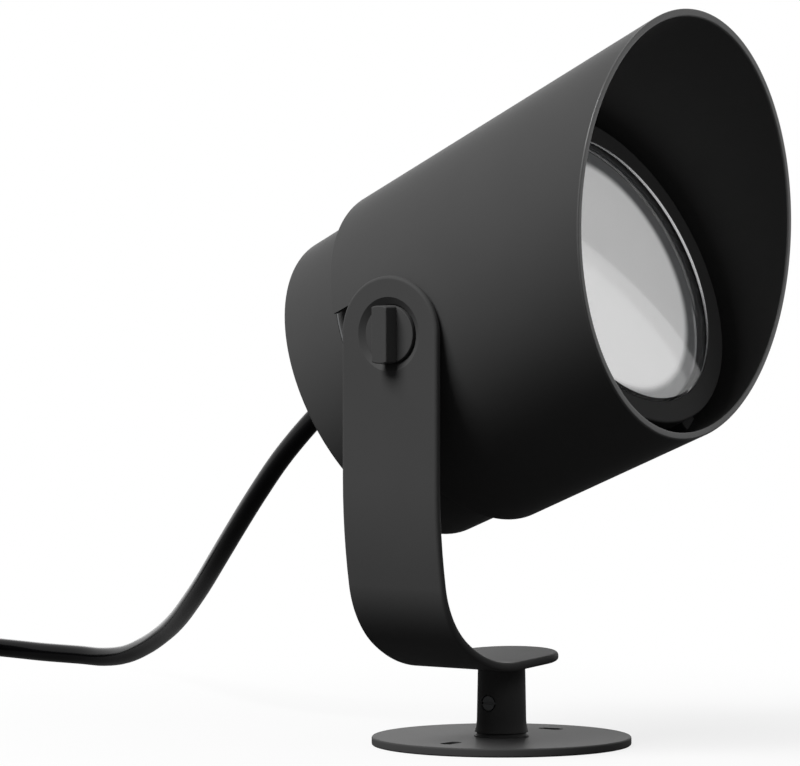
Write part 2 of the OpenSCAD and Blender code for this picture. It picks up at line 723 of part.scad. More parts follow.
module led_board() color("#e4e6e3") at_head() difference() {
    rod_x(partition_front, board_front, board_d / 2, fine);
    for (a = [0 : 120 : 240]) at_angle(a) translate([0, 0, board_screw_r])
        rod_x(partition_front - 1, board_front + 1, m3_r + 0.1);
    for (p = lead_at) translate([0, p[0], p[1]])
        rod_x(partition_front - 1, board_front + 1, lead_r + fit);
}

module led_chips() color("#e8c95a") at_head() {
    for (i = [0 : chip_count - 1]) at_angle(i * 360 / chip_count)
        translate([board_front, -chip_w / 2, chip_ring_r - chip_w / 2])
            cube([chip_h, chip_w, chip_w]);
    translate([board_front, -chip_w / 2, -chip_w / 2]) cube([chip_h, chip_w, chip_w]);
}

module board_screws() color(steel) at_head()
    for (a = [0 : 120 : 240]) at_angle(a) translate([0, 0, board_screw_r])
        screw_x(board_front, partition_front - partition_t + 1.5, m3_r, m3_head_r, 1.9);

// Driver

module driver_board() color(board_green) at_head() difference() {
    translate([driver_back, -driver_w / 2, driver_z0]) cube([board_t, driver_w, driver_h]);
    for (p = driver_holes) translate([0, p[0], p[1]])
        rod_x(driver_back - 1, driver_front + 1, m25_r, 24);
}

module driver_parts() color("#2a2c30") at_head() {
    for (b = driver_blocks) translate([driver_front, b[0], b[1]]) cube([b[2], b[3], b[4]]);
    for (c = driver_rounds) translate([0, c[0], c[1]])
        rod_x(driver_front, driver_front + c[3], c[2]);
}

module driver_screws() color(steel) at_head()
    for (p = driver_holes) translate([0, p[0], p[1]])
        screw_x(driver_front, cover_in + 5, m25_r - 0.25, m25_head_r, m25_head_h);

module terminal_block() color("#3d7a46") at_head() difference() {
    translate([driver_front, -terminal_w / 2, terminal_z0])
        cube([terminal_d, terminal_w, terminal_h]);
    for (s = [-1, 1]) translate([jacket_in + 2 + wire_bend_r, s * wire_y, terminal_z0 - 1])
        cylinder(h = 6, r = wire_r + 0.3, $fn = 24);
}

// Two wires from the cord's jacket, curving up into the terminal block
module supply_wires() at_head()
    for (s = [-1, 1]) color(s < 0 ? "#7a4a2a" : "#2c4f8f") translate([0, s * wire_y, 0]) {
        translate([0, 0, gland_up]) rod_x(jacket_in, jacket_in + 2, wire_r, 24);
        translate([jacket_in + 2, 0, gland_up + wire_bend_r]) rotate([90, 0, 0])
            rotate([0, 0, -90]) rotate_extrude(angle = 90, $fn = fine)
                translate([wire_bend_r, 0]) circle(r = wire_r, $fn = 24);
        translate([jacket_in + 2 + wire_bend_r, 0, gland_up + wire_bend_r])
            cylinder(h = 4.5, r = wire_r, $fn = 24);
    }

module led_leads() at_head() for (i = [0, 1])
    color(i == 0 ? "#b8322c" : "#232323") translate([0, lead_at[i][0], lead_at[i][1]]) {
        rod_x(driver_front, board_front + 0.3, lead_r, 24);
        rod_x(board_front, board_front + 0.6, lead_r + 0.5, 24);
    }

// Cable entry

module gland_body() color("#2b2c2e") at_head() translate([0, 0, gland_up]) difference() {
    union() {
        rod_x(-cover_back - gland_flange_t, gland_in, thread_r, fine);
        rod_x(-cover_back - gland_flange_t, -cover_back, gland_flange_r, 6);
        rod_x(-cover_back - gland_flange_t - gland_tube_len, -cover_back, gland_tube_r, fine);
    }
    rod_x(-exit_back, 0, cord_r + fit, fine);
    rod_x(-exit_back, -cover_back - gland_flange_t - gland_tube_len + seal_len,
        seal_hole_r + fit, fine);
}

module gland_locknut() color("#2b2c2e") at_head() translate([0, 0, gland_up]) difference() {
    rod_x(cover_in, cover_in + locknut_t, gland_flange_r, 6);
    rod_x(cover_in - 1, cover_in + locknut_t + 1, thread_r + fit, fine);
}

module gland_seal() color(rubber) at_head() translate([0, 0, gland_up])
    ring_x(-cover_back - gland_flange_t - gland_tube_len,
        -cover_back - gland_flange_t - gland_tube_len + seal_len - fit, seal_hole_r, cord_r + fit);

module strain_relief() color(rubber) at_head() translate([0, 0, gland_up]) {
    t0 = -cover_back - gland_flange_t - fit;
    t1 = t0 - gland_tube_len - fit;
    turned([
        [gland_tube_r + fit, t0], [gland_tube_r + 2.2, t0],
        [gland_tube_r + 2.2, t1 + 2], [gland_tube_r + 0.4, t1],
        [cord_r + 0.9, -exit_back], [cord_r + fit, -exit_back],
        [cord_r + fit, t1], [gland_tube_r + fit, t1]]);
}

module cord_entry() color(rubber) at_head() translate([0, 0, gland_up])
    rod_x(-exit_back, jacket_in, cord_r, fine);

// Cord, coil and connector

// The cord leaves the strain relief straight, and meets the coil straight
route_all = concat([cord_exit - 8 * exit_dir, cord_exit, cord_exit + 6 * exit_dir], route_free,
    [route_end, route_end + 10 * route_end_dir]);
cord_line = smooth_route(route_all, steps_per_span);

module cord() color(rubber) {
    n = len(cord_line);
    mid_dirs = tangents(cord_line);
    dirs = [for (i = [0 : n - 1]) i == 0 ? exit_dir : i == n - 1 ? route_end_dir : mid_dirs[i]];
    tube(cord_line, dirs, [for (i = [0 : n - 1]) cord_r], cord_sides);
}

// Radius and height of the coil's tube, u turns from where it changes layer
function coil_r(u) = coil_in_r + coil_pitch * sqrt(u * u + turn_round * turn_round);
function coil_h(u) = coil_z + coil_pitch * ramp((u + climb_turns / 2) / climb_turns);
function coil_at(u) = let(a = 90 + 360 * (u + half_turns))
    [coil_r(u) * cos(a), coil_r(u) * sin(a), coil_h(u)];
// Slope of the spiral at its ends, which turns its first stretch off square
lean = atan(coil_pitch / 360 * 180 / PI / coil_r(half_turns));
coil_rings = ceil(coil_turns * rings_per_turn);
coil_spin = [for (i = [0 : coil_rings]) coil_at(mix(-half_turns, half_turns, i / coil_rings))];
start_dir = [-cos(lean), -sin(lean), 0];
end_angle = 90 + 360 * coil_turns;
end_dir = [-sin(end_angle - lean), cos(end_angle - lean), 0];
coil_local = concat([coil_spin[0] - coil_lead * start_dir], coil_spin,
    [coil_spin[coil_rings] + coil_lead * end_dir]);
// Turned so that its first stretch runs on from the cord, and moved to the cord's end
function to_floor(p) = let(q = p - coil_local[0])
    [q[0] * cos(lean) + q[1] * sin(lean), q[1] * cos(lean) - q[0] * sin(lean), q[2]];
coil_line = [for (p = coil_local) route_end + to_floor(p)];
coil_dirs = let(n = len(coil_line), d = tangents(coil_line))
    [for (i = [0 : n - 1])
        i <= 1 ? route_end_dir
        : i >= n - 2 ? unit(coil_line[n - 1] - coil_line[n - 2]) : d[i]];
coil_centre = route_end + to_floor([0, 0, 0]);

module cord_coil() color(rubber)
    tube(coil_line, coil_dirs, [for (p = coil_line) cord_r], coil_sides);

// Least gap between parts of the coil that are at least half a turn apart
coil_gap = min([for (i = [0 : len(coil_line) - 1])
    for (j = [i + rings_per_turn / 2 : 1 : len(coil_line) - 1])
        norm(coil_line[i] - coil_line[j])]) - cord_d;
echo(coil_least_gap = coil_gap);

// Tail of the cord, from the coil down to the connector's height
tail_from = coil_line[len(coil_line) - 1];
tail_dir = coil_dirs[len(coil_dirs) - 1];
tail_drop = nut_r - tail_from[2];
tail_rings = 6;
tail_line = [for (i = [0 : tail_rings])
    tail_from + tail_len * i / tail_rings * tail_dir + [0, 0, tail_drop * ramp(i / tail_rings)]];

module cord_tail() color(rubber) {
    d = tangents(tail_line);
    dirs = [for (i = [0 : tail_rings]) i == 0 || i == tail_rings ? tail_dir : d[i]];
    tube(tail_line, dirs, [for (i = [0 : tail_rings]) cord_r], cord_sides);
}

// Tie round the coil's turns at an angle along it
module tie(a) {
    passes = [for (k = [0 : floor(coil_turns)]) (a + 360 * k) / 360 - half_turns];
    inside = [for (u = passes) if (u <= half_turns) coil_r(u)];
    r0 = min(inside) - cord_r - tie_gap;
    r1 = max(inside) + cord_r + tie_gap;
    z0 = coil_z - cord_r - 0.2;
    z1 = coil_z + coil_pitch + cord_r + 0.2;
    corner = 3;
    rotate([0, 0, 90 + a]) rotate([90, 0, 0]) linear_extrude(height = tie_w, center = true)
        difference() {
            translate([r0 - tie_t, z0 - tie_t]) rounded(r1 - r0 + 2 * tie_t, z1 - z0 + 2 * tie_t,
                corner);
            translate([r0, z0]) rounded(r1 - r0, z1 - z0, corner - tie_t);
        }
}

module rounded(w, h, r) {
    translate([r, 0]) square([w - 2 * r, h]);
    translate([0, r]) square([w, h - 2 * r]);
    for (x = [r, w - r]) for (y = [r, h - r]) translate([x, y]) circle(r = r, $fn = 24);
}

module cord_ties() color("#202124")
    translate([coil_centre[0], coil_centre[1], 0]) rotate([0, 0, -lean])
        for (a = tie_angles) tie(a);

// Connector pieces are drawn along +X from the end of the tail
module at_connector()
    translate(tail_line[tail_rings]) rotate([0, 0, atan2(tail_dir[1], tail_dir[0])]) children();

module connector_boot() color(rubber) at_connector() turned([
    [0, 0], [cord_r + 0.9, 0], [connector_d / 2 - 1.5, boot_len - 3],
    [connector_d / 2 - 1.5, boot_len], [0, boot_len]]);

module connector_body() color("#232426") at_connector() difference() {
    union() {
        rod_x(boot_len, boot_len + connector_len, connector_d / 2, fine);
        for (t = [2, 5, 8]) rod_x(boot_len + t, boot_len + t + 1.6, connector_d / 2 + 0.5, fine);
    }
    for (s = [-1, 1]) translate([0, 0, s * contact_pitch / 2])
        rod_x(boot_len + connector_len - contact_len - 0.5, boot_len + connector_len + 1,
            contact_r + fit);
}

module connector_nut() color("#1d1e20") at_connector() difference() {
    rod_x(boot_len + connector_len - nut_len, boot_len + connector_len, nut_r, fine);
    rod_x(boot_len, boot_len + connector_len + 1, connector_d / 2 + fit, fine);
    for (i = [0 : 11]) rotate([i * 30, 0, 0])
        translate([boot_len + connector_len - nut_len - 1, -0.6, nut_r - 0.5])
            cube([nut_len - 2, 1.2, 2]);
}

module connector_contacts() color(brass) at_connector()
    for (s = [-1, 1]) translate([0, 0, s * contact_pitch / 2])
        ring_x(boot_len + connector_len - contact_len - 0.5, boot_len + connector_len - 0.5,
            contact_r, contact_r - 0.5, round);

base_plate();
swivel_post();
post_screw();
thrust_washer();
arm();
set_screw();
tilt_knob();
knob_stud();
knob_washer();
friction_washer();
pivot_insert();
main_housing();
rear_cover();
cover_seal();
cover_screws();
shroud();
shroud_screws();
bezel_ring();
lens_glass();
lens_seal();
diffuser();
reflector();
led_board();
led_chips();
board_screws();
driver_board();
driver_parts();
driver_screws();
terminal_block();
supply_wires();
led_leads();
gland_body();
gland_locknut();
gland_seal();
strain_relief();
cord_entry();
cord();
cord_coil();
cord_tail();
cord_ties();
connector_boot();
connector_body();
connector_nut();
connector_contacts();
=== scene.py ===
# %% [markdown]
# # An outdoor spotlight
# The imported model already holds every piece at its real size. This script dresses it: it loads
# that model as a fixed frame, lays the cord, replaces the pieces whose edges are soft on the real
# lamp, and gives each piece a finish that is made from nodes.

# %% Load the frame
import json
import math

import bmesh
import bpy
from mathutils import Matrix, Vector


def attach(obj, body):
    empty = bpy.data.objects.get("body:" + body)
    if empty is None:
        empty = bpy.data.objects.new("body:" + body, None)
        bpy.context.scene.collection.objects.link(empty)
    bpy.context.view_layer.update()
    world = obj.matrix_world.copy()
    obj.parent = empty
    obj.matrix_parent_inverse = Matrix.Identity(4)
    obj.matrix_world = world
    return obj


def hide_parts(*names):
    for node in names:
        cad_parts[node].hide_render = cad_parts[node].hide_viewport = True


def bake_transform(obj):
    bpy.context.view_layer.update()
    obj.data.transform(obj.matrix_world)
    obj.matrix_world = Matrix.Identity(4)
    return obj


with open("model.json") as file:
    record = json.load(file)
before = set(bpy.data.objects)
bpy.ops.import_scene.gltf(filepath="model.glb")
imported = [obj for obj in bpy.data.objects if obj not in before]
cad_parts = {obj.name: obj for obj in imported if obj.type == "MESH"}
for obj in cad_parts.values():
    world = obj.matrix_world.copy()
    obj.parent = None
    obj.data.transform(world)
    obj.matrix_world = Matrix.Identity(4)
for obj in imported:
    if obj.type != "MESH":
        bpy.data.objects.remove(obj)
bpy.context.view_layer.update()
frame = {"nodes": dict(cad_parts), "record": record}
MM = 0.001

# %% [markdown]
# ## Camera
# The picture was taken with a long lens from a little above the ground, so upright lines stay
# upright and the round foot shows as a thin ellipse. A camera is easiest to place by what it aims
# at, how far it is turned round the object, and how high it stands.

# %% The camera
CAMERA_TURN = math.radians(35.49)
CAMERA_RISE = math.radians(2.74)
CAMERA_RANGE = 2.307
CAMERA_LENS = 300.5
AIM_HEIGHT, AIM_RIGHT, AIM_UP = 0.126, -0.03516, -0.00068

to_camera = Vector((math.sin(CAMERA_TURN) * math.cos(CAMERA_RISE),
                    -math.cos(CAMERA_TURN) * math.cos(CAMERA_RISE), math.sin(CAMERA_RISE)))
to_right = Vector((math.cos(CAMERA_TURN), math.sin(CAMERA_TURN), 0))
to_top = to_camera.cross(to_right)
aim = Vector((0, 0, AIM_HEIGHT)) + AIM_RIGHT * to_right + AIM_UP * to_top

camera = bpy.data.objects.new("camera", bpy.data.cameras.new("camera"))
bpy.context.collection.objects.link(camera)
camera.data.lens = CAMERA_LENS
camera.data.clip_end = 20
camera.matrix_world = (Matrix.Translation(aim + CAMERA_RANGE * to_camera)
                       @ Matrix((to_right, to_top, to_camera)).transposed().to_4x4())
bpy.context.scene.camera = camera
print("camera at", [round(v, 3) for v in camera.location])

# %% [markdown]
# ## Where things are
# The head is drawn level, with its beam along X from the tilt axis, and one matrix then tilts and
# lifts it into place. Two more matrices stand a turned piece upright or lay it sideways.

# %% Places
PIVOT = Vector((0, 0, 144.4 * MM))
TILT = math.radians(25)
HEAD = Matrix.Translation(PIVOT) @ Matrix.Rotation(-TILT, 4, "Y")
UPRIGHT = Matrix.Rotation(-math.pi / 2, 4, "Y")
SIDEWAYS = Matrix.Translation(PIVOT) @ Matrix.Rotation(-math.pi / 2, 4, "Z")
GLAND_UP = 5


def round_beam(degrees):
    """Turns what is drawn above the beam's axis to an angle round it."""
    return Matrix.Rotation(-math.radians(degrees), 4, "X")


# %% [markdown]
# ## Colours and nodes
# Colours are written as sRGB hex, the way a paint chart gives them, and one function turns them
# into the linear values that shaders use. One more function adds a node with its settings and
# links, so that each finish below reads as a short list.

# %% Colour and node helpers
def linear(code):
    parts = [int(code[i:i + 2], 16) / 255 for i in (1, 3, 5)]
    return [c / 12.92 if c < 0.04045 else ((c + 0.055) / 1.055) ** 2.4 for c in parts] + [1]


def add_node(tree, kind, sockets=(), **settings):
    node = tree.nodes.new(kind)
    for name, value in settings.items():
        setattr(node, name, value)
    for name, value in dict(sockets).items():
        if isinstance(value, bpy.types.NodeSocket):
            tree.links.new(value, node.inputs[name])
        else:
            node.inputs[name].default_value = value
    return node


def per_mm(size):
    """Scale of a noise whose features are that many millimetres across."""
    return 1 / (size * MM)


def new_finish(name):
    finish = bpy.data.materials.new(name)
    finish.use_nodes = True
    tree = finish.node_tree
    tree.nodes.clear()
    place = add_node(tree, "ShaderNodeTexCoord").outputs["Object"]
    return finish, tree, place


def close_finish(tree, shader):
    add_node(tree, "ShaderNodeOutputMaterial", {"Surface": shader})


def mottled(name, dark, light, patch, grain, bump, roughness, spread=0.08, **constants):
    """A moulded, cast or coated surface: two close tones in patches over a fine grain.
    patch and grain are in millimetres, bump is the grain's height in millimetres."""
    finish, tree, place = new_finish(name)
    patches = add_node(tree, "ShaderNodeTexNoise",
                       {"Vector": place, "Scale": per_mm(patch), "Detail": 3}).outputs["Fac"]
    grains = add_node(tree, "ShaderNodeTexNoise",
                      {"Vector": place, "Scale": per_mm(grain), "Detail": 2}).outputs["Fac"]
    tone = add_node(tree, "ShaderNodeMix", {"Factor": patches, "A": linear(dark),
                                           "B": linear(light)}, data_type="RGBA")
    sheen = add_node(tree, "ShaderNodeMapRange",
                     {"Value": grains, "To Min": roughness - spread, "To Max": roughness + spread})
    relief = add_node(tree, "ShaderNodeBump",
                      {"Height": grains, "Distance": bump * MM, "Strength": 1})
    shader = add_node(tree, "ShaderNodeBsdfPrincipled", {
        "Base Color": tone.outputs["Result"], "Roughness": sheen.outputs["Result"],
        "Normal": relief.outputs["Normal"], **constants})
    close_finish(tree, shader.outputs["BSDF"])
    return finish


# %% [markdown]
# ## The cord
# A free cord is settled first, because its length and where it lies are facts that everything
# else has to respect. It leaves the strain relief straight, sags to the ground in one smooth
# curve, and the length that the picture doesn't show lies in a neat coil beyond its left edge.
# Its points are listed, a smooth curve passes through them all, and the coil's turns come
# from a formula.

# %% Route of the cord
CORD_D = 7.2
EXIT_BACK = 74
COIL_PITCH = 7.8
COIL_MEAN_R = 39.6
COIL_TURNS = 4.25
COIL_Z = 4.6
TAIL_LENGTH = 42
CONNECTOR_Z = 9.2

exit_dir = (HEAD.to_3x3() @ Vector((-1, 0, 0)))
cord_exit = HEAD @ Vector((-EXIT_BACK * MM, 0, GLAND_UP * MM))
route = [Vector(p) for p in (
    (-0.084, 0.0005, 0.1074), (-0.098, 0.004, 0.0955), (-0.114, 0.011, 0.0817),
    (-0.132, 0.022, 0.0677), (-0.151, 0.0365, 0.0552), (-0.171, 0.0545, 0.0447),
    (-0.192, 0.0745, 0.0355), (-0.214, 0.096, 0.027), (-0.237, 0.1175, 0.0192),
    (-0.260, 0.136, 0.0118), (-0.280, 0.1485, 0.0062), (-0.297, 0.156, 0.0038),
    (-0.312, 0.1594, 0.0036), (-0.330, 0.160, 0.0037), (-0.346, 0.160, 0.0042),
    (-0.362, 0.160, 0.0046))]
coil_start = Vector((-0.378, 0.160, 0.0046))
ahead = Vector((-1, 0, 0))


def through(points, steps):
    """A smooth curve through all the points but the first and last, which only steer it."""
    line = []
    for a, b, c, d in zip(points, points[1:], points[2:], points[3:]):
        for s in range(steps):
            k = s / steps
            line.append(0.5 * (2 * b + (c - a) * k + (2 * a - 5 * b + 4 * c - d) * k ** 2
                               + (3 * b - a - 3 * c + d) * k ** 3))
    return line + [points[-2]]


def ramp(x):
    k = min(1, max(0, x))
    return k * k * (3 - 2 * k)


free_line = through([cord_exit - 0.008 * exit_dir, cord_exit, cord_exit + 0.006 * exit_dir]
                    + route + [coil_start, coil_start + 0.010 * ahead], steps=6)

# %% Turns of the coil, and the tail
COIL_RINGS, TAIL_STEPS = 256, 12
CLIMB = 0.5
half_turns = COIL_TURNS / 2
coil_in_r = COIL_MEAN_R - COIL_PITCH * half_turns / 2


def coil_r(turn):
    """Radius of the spiral, with its point rounded where the cord turns back."""
    return coil_in_r + COIL_PITCH * math.sqrt(turn ** 2 + 0.01)


def coil_at(turn):
    """Spirals in on the ground, climbs a layer in part of a turn, and spirals out."""
    height = COIL_Z + COIL_PITCH * ramp((turn + CLIMB / 2) / CLIMB)
    angle = math.radians(90 + 360 * (turn + half_turns))
    return Vector((coil_r(turn) * math.cos(angle), coil_r(turn) * math.sin(angle), height)) * MM


lean = math.atan(COIL_PITCH / (2 * math.pi) / coil_r(half_turns))
end_angle = math.radians(90 + 360 * COIL_TURNS) - lean
spin = [coil_at(half_turns * (2 * i / COIL_RINGS - 1)) for i in range(COIL_RINGS + 1)]
lead_in = spin[0] + CORD_D * MM * Vector((math.cos(lean), math.sin(lean), 0))
lead_out = spin[-1] + CORD_D * MM * Vector((-math.sin(end_angle), math.cos(end_angle), 0))
unlean = Matrix.Rotation(-lean, 4, "Z")
coil_line = [coil_start + unlean @ (p - lead_in) for p in spin + [lead_out]]
tail_dir = unlean @ Vector((-math.sin(end_angle), math.cos(end_angle), 0))
tail_drop = Vector((0, 0, CONNECTOR_Z * MM - coil_line[-1].z))
tail_line = [coil_line[-1] + TAIL_LENGTH * MM * i / TAIL_STEPS * tail_dir
             + tail_drop * ramp(i / TAIL_STEPS) for i in range(1, TAIL_STEPS + 1)]
cord_line = free_line + coil_line + tail_line
CONNECTOR = Matrix.Translation(cord_line[-1]) @ Matrix.Rotation(
    math.atan2(tail_dir.y, tail_dir.x), 4, "Z")

# %% [markdown]
# A round section swept along a line is what Blender's curves do best. The curve is then made a
# mesh, as only a mesh can be blended between two bodies for the first stretch to bend as the head
# tilts; no such blend is set up here.
#
# The jacket is extruded rubber: black and smooth, so it shows a thin bright line along its top
# and almost nothing else. Extrusion leaves faint flow marks, which break that line up a little.

# %% Jacket and cord
jacket = mottled("extruded_cord_jacket", "#060607", "#0a0a0b", 30, 1.2, 0.002, 0.2, 0.04,
                 **{"Specular IOR Level": 0.16})

curve = bpy.data.curves.new("cord_line", "CURVE")
curve.dimensions = "3D"
curve.bevel_depth = CORD_D / 2 * MM
curve.bevel_resolution = 6
curve.use_fill_caps = True
spline = curve.splines.new("POLY")
spline.points.add(len(cord_line) - 1)
for point, place in zip(spline.points, cord_line):
    point.co = (*place, 1)
swept = bpy.data.objects.new("cord_swept", curve)
bpy.context.collection.objects.link(swept)
bpy.context.view_layer.update()
cord = bpy.data.objects.new("supply_cord", bpy.data.meshes.new_from_object(
    swept.evaluated_get(bpy.context.evaluated_depsgraph_get())))
bpy.context.collection.objects.link(cord)
bpy.data.objects.remove(swept)
cord.data.shade_smooth()
cord.data.materials.clear()
cord.data.materials.append(jacket)
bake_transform(cord)
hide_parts("cord", "cord_coil", "cord_tail")
print("cord faces:", len(cord.data.polygons))

# %% [markdown]
# ## Finishes
# Nearly all that shows is one finish: aluminium under a fine-textured polyester powder coat, in
# near-black grey. Powder melts into a skin that is never quite level, so it scatters light
# softly, and its highlights are broad. The real grain is about a quarter of a millimetre; it is
# drawn at twice that, because a finer one would only turn to noise at this size.

# %% Powder coat
coat = mottled("powder_coated_aluminium", "#484848", "#4e4e4e", 45, 0.5, 0.010, 0.46, 0.05,
               **{"Specular IOR Level": 0.02})
# Powder runs thin over a cut rim and levels there, so the rim shines more than the walls.
# Its lighter tone is a painted highlight along the rim.
rim_coat_painted_highlight = mottled("powder_coat_on_rim_painted_highlight", "#4e4e4e", "#565656", 45, 0.5, 0.005, 0.26, 0.04,
                   **{"Specular IOR Level": 0.4})

# %% [markdown]
# Metals keep Blender's default index of refraction and take their colour from the base colour.
# Turned steel and brass show fine rings from the cutting tool; noise stretched round the part
# would need each screw's own axis, so a fine grain in the roughness stands for them.

# %% Metals
steel = mottled("turned_steel", "#8f9296", "#a2a5a8", 6, 0.3, 0.002, 0.3, 0.08, Metallic=1)
dark_steel = mottled("blackened_steel", "#3a3b3c", "#444546", 4, 0.3, 0.003, 0.5, 0.08,
                     Metallic=0.3, **{"Specular IOR Level": 0.2})
brass = mottled("turned_brass", "#a8863f", "#bd9a50", 6, 0.3, 0.002, 0.3, 0.08, Metallic=1)

# %% [markdown]
# Rubber, nylon and the other plastics differ mostly in tone and in how sharp their highlight is:
# silicone and moulded rubber are dull, nylon and the parts' cases have a low gloss.

# %% Rubber and plastics
seal_rubber = mottled("silicone_seal", "#5a5b5c", "#636465", 12, 0.6, 0.01, 0.7)
moulded_rubber = mottled("moulded_rubber", "#161617", "#1d1d1e", 15, 0.5, 0.01, 0.62)
nylon = mottled("moulded_nylon", "#18191a", "#1f2021", 20, 0.5, 0.008, 0.42)
acetal = mottled("acetal_washer", "#2a2a2a", "#303030", 10, 0.6, 0.004, 0.45)
friction = mottled("pressed_friction_pad", "#4a463f", "#5e594f", 1.5, 0.4, 0.03, 0.85)
terminal = mottled("terminal_nylon", "#2f7040", "#37804a", 8, 0.5, 0.006, 0.4)
component = mottled("moulded_component_case", "#25272b", "#2e3035", 5, 0.4, 0.005, 0.35)
solder_green = mottled("green_solder_mask", "#17513a", "#1e6244", 3, 0.5, 0.01, 0.35)
solder_white = mottled("white_solder_mask", "#dcdeda", "#e8e9e5", 4, 0.5, 0.01, 0.4)
phosphor = mottled("phosphor_on_chips", "#dcb648", "#eecb62", 1, 0.2, 0.01, 0.5)
reflector_white = mottled("moulded_white_polycarbonate", "#e0dfd9", "#eae9e4", 25, 0.8, 0.004,
                          0.3)
woven_strap = mottled("woven_strap", "#1b1c1e", "#26272a", 8, 0.8, 0.05, 0.85)
wire_sleeve = mottled("wire_insulation", "#6f3a26", "#82442c", 6, 0.5, 0.004, 0.4)
print("finishes:", len(bpy.data.materials))

# %% [markdown]
# ## Mesh helpers
# Most pieces of a lamp are turned, so one helper spins an outline round the X axis, and another
# rounds the edges that it leaves sharp. A third draws a flat blank out to a solid.

# %% Turning, easing and drawing out
TURN_STEPS = 160


def turned(bm, outline, closed=True, steps=TURN_STEPS, place=None):
    """Spins (along, radius) points in millimetres round X. Leave the outline open where it starts
    and ends on the axis."""
    verts = [bm.verts.new((along * MM, 0, radius * MM)) for along, radius in outline]
    pairs = zip(verts, verts[1:] + verts[:1]) if closed else zip(verts, verts[1:])
    edges = [bm.edges.new(pair) for pair in pairs]
    before = set(bm.verts) - set(verts)
    bmesh.ops.spin(bm, geom=verts + edges, cent=(0, 0, 0), axis=(1, 0, 0), dvec=(0, 0, 0),
                   angle=2 * math.pi, steps=steps, use_merge=True, use_duplicate=False)
    new = [v for v in bm.verts if v not in before]
    bmesh.ops.remove_doubles(bm, verts=new, dist=1e-7)
    if place:
        bmesh.ops.transform(bm, matrix=place, verts=[v for v in bm.verts if v not in before])
    bmesh.ops.recalc_face_normals(bm, faces=bm.faces)
    return bm


def eased(bm, width, sharper=30, segments=3, where=None):
    """Rounds the edges that turn by more than an angle, all or where a test of their middle, in
    millimetres, says so."""
    edges = [e for e in bm.edges if len(e.link_faces) == 2
             and e.calc_face_angle() > math.radians(sharper)
             and (where is None or where((e.verts[0].co + e.verts[1].co) / 2 / MM))]
    bmesh.ops.bevel(bm, geom=edges, offset=width * MM, offset_type="OFFSET", affect="EDGES",
                    segments=segments, profile=0.5, clamp_overlap=False, material=-1)
    return bm


def drawn_out(bm, way):
    """Makes a flat face a solid, drawn out by a vector in millimetres."""
    grown = bmesh.ops.extrude_face_region(bm, geom=bm.faces[:])["geom"]
    bmesh.ops.translate(bm, vec=Vector(way) * MM,
                        verts=[g for g in grown if isinstance(g, bmesh.types.BMVert)])
    bmesh.ops.recalc_face_normals(bm, faces=bm.faces)


# %% [markdown]
# Two shapes become one in two ways here. A hole with a true edge needs a boolean, which works on
# objects, so each bmesh becomes one for a moment. Pieces that only have to move together, as
# welded ones do, can simply share a mesh.

# %% Cutting and joining
def everything(bm):
    return bm.verts[:] + bm.edges[:] + bm.faces[:]


def joined(bm, *others):
    """Adds the other bmeshes to this one, as a weld does."""
    for other in others:
        spare = bpy.data.meshes.new("spare")
        other.to_mesh(spare)
        other.free()
        bm.from_mesh(spare)
        bpy.data.meshes.remove(spare)
    return bm


def as_object(bm, name):
    mesh = bpy.data.meshes.new(name)
    bm.to_mesh(mesh)
    bm.free()
    made = bpy.data.objects.new(name, mesh)
    bpy.context.collection.objects.link(made)
    return made


def cut(bm, *tools):
    """The bmesh less the tools' solids."""
    body = as_object(bm, "blank")
    spent = [as_object(tool, "tool") for tool in tools]
    for tool in spent:
        boolean = body.modifiers.new("cut", "BOOLEAN")
        boolean.operation = "DIFFERENCE"
        boolean.solver = "EXACT"
        boolean.object = tool
    bpy.context.view_layer.update()
    mesh = bpy.data.meshes.new_from_object(
        body.evaluated_get(bpy.context.evaluated_depsgraph_get()))
    result = bmesh.new()
    result.from_mesh(mesh)
    for gone in spent + [body]:
        bpy.data.objects.remove(gone)
    bpy.data.meshes.remove(mesh)
    return result


# %% [markdown]
# A finished piece has its place in its mesh, smooth shading that stops at its crisp edges, a
# finish, and the body that it moves with. Weighted normals keep the flat faces beside a rounded
# edge looking flat.

# %% Finishing a piece
def finished(bm, name, finish, slot, body, *replaced, place=None, crisp=35):
    """crisp is the angle in degrees from which an edge isn't shaded smooth."""
    if place:
        bmesh.ops.transform(bm, matrix=place, verts=bm.verts)
    bmesh.ops.recalc_face_normals(bm, faces=bm.faces)
    made = as_object(bm, name)
    made.data.shade_smooth()
    made.data.set_sharp_from_angle(angle=math.radians(crisp))
    made.data.materials.append(finish)
    even = made.modifiers.new("even_shading", "WEIGHTED_NORMAL")
    even.keep_sharp = True
    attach(made, body)
    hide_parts(*replaced)
    print(name, "faces:", len(made.data.polygons))
    return made


# %% [markdown]
# ## Foot
# The foot is a flat disc, spun and then cut: two screw slots at right angles to each other, and a
# countersink below for the screw that holds the swivel post. Powder never covers a knife edge, so
# its rims are rounded.

# %% Base plate
BASE_R, BASE_T = 45, 3
SLOT_R, SLOT_LENGTH, SLOT_AT = 2.25, 9.5, 30.5


def slot_tool(place):
    """A solid with round ends, for cutting a screw slot."""
    bm = bmesh.new()
    bmesh.ops.create_circle(bm, cap_ends=True, segments=48, radius=SLOT_R * MM)
    reach = (SLOT_LENGTH / 2 - SLOT_R) * MM
    for v in bm.verts:
        v.co.x += math.copysign(reach, v.co.x)
    drawn_out(bm, (0, 0, 3 * BASE_T))
    bmesh.ops.translate(bm, vec=(0, 0, -BASE_T * MM), verts=bm.verts)
    bmesh.ops.transform(bm, matrix=place, verts=bm.verts)
    return bm


